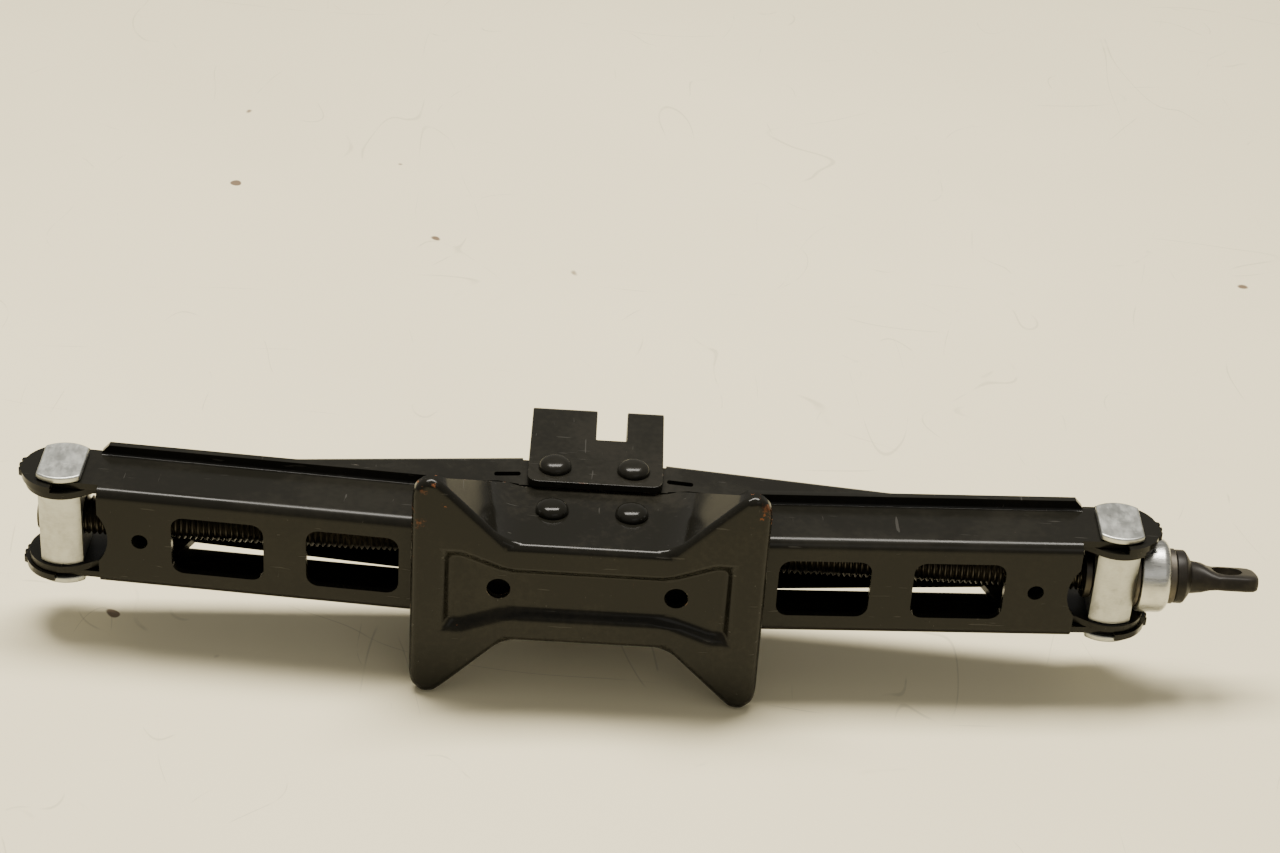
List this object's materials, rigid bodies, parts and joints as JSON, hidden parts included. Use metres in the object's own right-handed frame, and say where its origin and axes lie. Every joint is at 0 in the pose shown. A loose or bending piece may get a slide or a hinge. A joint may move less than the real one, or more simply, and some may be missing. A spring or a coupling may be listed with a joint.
{
  "type": "scissor car jack",
  "caption": "Scissor car jack, lowered and lying on its side, with channel arms, a lead screw with a flat crank eye, a bow-tie base and a slotted saddle.",
  "frame": {"origin": "centre of the base's ground face, on the middle plane between the arm flanges", "axes": "+X along the lead screw towards the crank eye, +Y the lifting direction from the base to the saddle, +Z parallel to the pivot pins"},
  "size_m": [0.4451, 0.0897, 0.0906],
  "materials": {
    "black_paint": "worn semi-gloss",
    "bracket_paint": "worn semi-gloss, rusty edges",
    "pin_steel": "worn semi-gloss",
    "plated_steel": "dull",
    "greased_screw": "greasy",
    "bearing_steel": "satin"
  },
  "bodies": {
    "base": {"base_plate": "bracket_paint", "base_pin_left": "pin_steel", "base_pin_right": "pin_steel"},
    "lower_left": {"lower_arm_left": "black_paint"},
    "lower_right": {"lower_arm_right": "black_paint"},
    "nut_body": {"trunnion_nut": "plated_steel"},
    "block_body": {"trunnion_block": "plated_steel", "thrust_washer": "greased_screw", "bearing_cup": "bearing_steel", "bearing_rear_race": "bearing_steel", "bearing_balls": "bearing_steel", "bearing_cage": "bearing_steel"},
    "upper_left": {"upper_arm_left": "black_paint"},
    "upper_right": {"upper_arm_right": "black_paint"},
    "saddle_body": {"saddle": "bracket_paint", "saddle_pin_left": "pin_steel", "saddle_pin_right": "pin_steel"},
    "screw_body": {"lead_screw": "greased_screw", "stop_ring": "greased_screw", "bearing_front_race": "bearing_steel"}
  },
  "joints": [
    {"name": "lift", "type": "hinge", "parent": "base", "child": "lower_left", "pos_m": [-0.0141, 0.0237, 0], "axis": [0, 0, -1], "range_deg": [0, 50]},
    {"name": "lower_arm_right_joint", "type": "hinge", "parent": "base", "child": "lower_right", "pos_m": [0.0141, 0.0237, 0], "axis": [0, 0, 1], "range_deg": [0, 50]},
    {"name": "trunnion_left_joint", "type": "hinge", "parent": "lower_left", "child": "nut_body", "pos_m": [-0.18852, 0.0352, 0], "axis": [0, 0, 1], "range_deg": [0, 50]},
    {"name": "trunnion_right_joint", "type": "hinge", "parent": "lower_right", "child": "block_body", "pos_m": [0.18852, 0.0352, 0], "axis": [0, 0, -1], "range_deg": [0, 50]},
    {"name": "upper_arm_left_joint", "type": "hinge", "parent": "lower_left", "child": "upper_left", "pos_m": [-0.18852, 0.0352, 0], "axis": [0, 0, 1], "range_deg": [0, 100]},
    {"name": "upper_arm_right_joint", "type": "hinge", "parent": "lower_right", "child": "upper_right", "pos_m": [0.18852, 0.0352, 0], "axis": [0, 0, -1], "range_deg": [0, 100]},
    {"name": "saddle_joint", "type": "hinge", "parent": "upper_left", "child": "saddle_body", "pos_m": [-0.0141, 0.0467, 0], "axis": [0, 0, -1], "range_deg": [0, 50]},
    {"name": "screw", "type": "hinge", "parent": "block_body", "child": "screw_body", "pos_m": [0.18852, 0.0352, 0], "axis": [1, 0, 0], "continuous": true}
  ],
  "couplings": [
    {"joint": "lower_arm_right_joint", "follows": "lift", "ratio": 1},
    {"joint": "trunnion_left_joint", "follows": "lift", "ratio": 1},
    {"joint": "trunnion_right_joint", "follows": "lift", "ratio": 1},
    {"joint": "upper_arm_left_joint", "follows": "lift", "ratio": 2},
    {"joint": "upper_arm_right_joint", "follows": "lift", "ratio": 2},
    {"joint": "saddle_joint", "follows": "lift", "ratio": 1}
  ]
}
